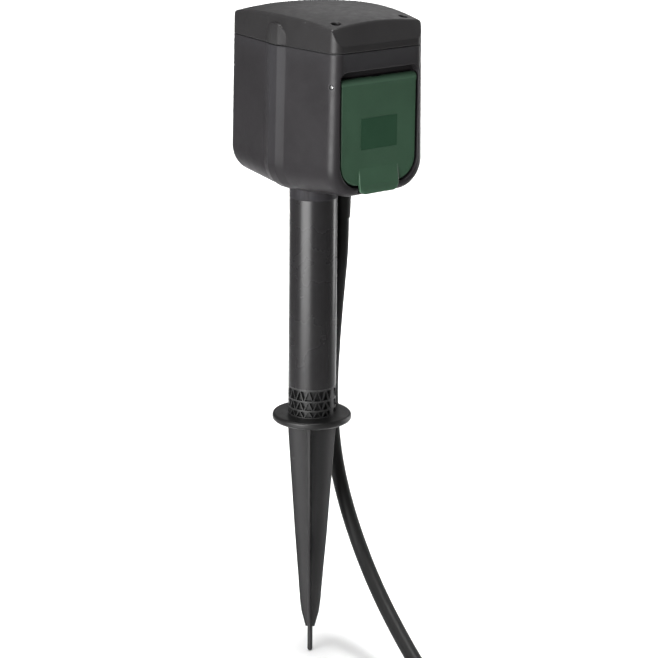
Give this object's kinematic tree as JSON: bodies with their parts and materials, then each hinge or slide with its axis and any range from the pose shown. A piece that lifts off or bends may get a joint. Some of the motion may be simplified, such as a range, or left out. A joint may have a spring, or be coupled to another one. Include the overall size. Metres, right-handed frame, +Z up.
{
  "type": "garden socket",
  "caption": "Garden power socket on a ground spike: a lidded earthed outlet on the front and rear of a domed head, a round post and a rubber lead with a plug.",
  "frame": {"origin": "on the post's axis at the underside of the ground flange, where the soil surface lies in use", "axes": "+Z up along the post, -Y towards the front lid, +X to the right seen from the front"},
  "size_m": [0.1625, 0.255, 0.422],
  "materials": {
    "body_plastic": "anthracite, fine moulded grain",
    "cover_plastic": "anthracite, fine moulded grain",
    "tube_plastic": "anthracite, satin extruded tube",
    "collar_plastic": "anthracite, fine moulded grain",
    "spike_plastic": "anthracite, satin",
    "lid_plastic": "dark green, satin",
    "patch_plastic": "darker green, plain",
    "insert_plastic": "black, satin",
    "seal_rubber": "black, matte",
    "cable_rubber": "black, matte",
    "plug_rubber": "black, matte",
    "tie_plastic": "black, satin",
    "live_insulation": "brown",
    "neutral_insulation": "blue",
    "earth_insulation": "green and yellow",
    "brass": "bright",
    "steel": "zinc plated",
    "spring_steel": "drawn wire",
    "plated_pins": "nickel plated"
  },
  "bodies": {
    "root": {"head_body": "body_plastic", "head_neck": "body_plastic", "top_cover": "cover_plastic", "cover_seal": "seal_rubber", "cover_screws": "steel", "post_tube": "tube_plastic", "post_screws": "steel", "lattice_collar": "collar_plastic", "ground_flange": "collar_plastic", "ground_spike": "spike_plastic", "front_hinge_pin": "steel", "front_lid_spring": "spring_steel", "front_socket_insert": "insert_plastic", "front_socket_contacts": "brass", "front_earth_strap": "brass", "front_terminal_screws": "brass", "front_insert_gasket": "seal_rubber", "front_insert_screws": "steel", "rear_hinge_pin": "steel", "rear_lid_spring": "spring_steel", "rear_socket_insert": "insert_plastic", "rear_socket_contacts": "brass", "rear_earth_strap": "brass", "rear_terminal_screws": "brass", "rear_insert_gasket": "seal_rubber", "rear_insert_screws": "steel", "cable_grommet": "cable_rubber", "cable_inner": "cable_rubber", "cable_clamp": "insert_plastic", "clamp_screws": "steel", "live_wires": "live_insulation", "neutral_wires": "neutral_insulation", "earth_wires": "earth_insulation", "cable_run": "cable_rubber", "cable_coil": "cable_rubber", "coil_tie": "tie_plastic", "plug_boot": "plug_rubber", "plug_body": "plug_rubber", "plug_pins": "plated_pins", "plug_earth_contacts": "plated_pins"},
    "front_lid": {"front_lid": "lid_plastic", "front_lid_patch": "patch_plastic", "front_lid_seal": "seal_rubber"},
    "rear_lid": {"rear_lid": "lid_plastic", "rear_lid_patch": "patch_plastic", "rear_lid_seal": "seal_rubber"}
  },
  "joints": [
    {"name": "front_lid_hinge", "type": "hinge", "parent": "root", "child": "front_lid", "pos_m": [0.009, -0.0475, 0.2218], "axis": [-1, 0, 0], "range_deg": [0, 100], "stiffness_Nm_per_rad": 0.01, "springref_deg": -34.38},
    {"name": "rear_lid_hinge", "type": "hinge", "parent": "root", "child": "rear_lid", "pos_m": [0.009, 0.0475, 0.2218], "axis": [1, 0, 0], "range_deg": [0, 100], "stiffness_Nm_per_rad": 0.01, "springref_deg": -34.38}
  ]
}
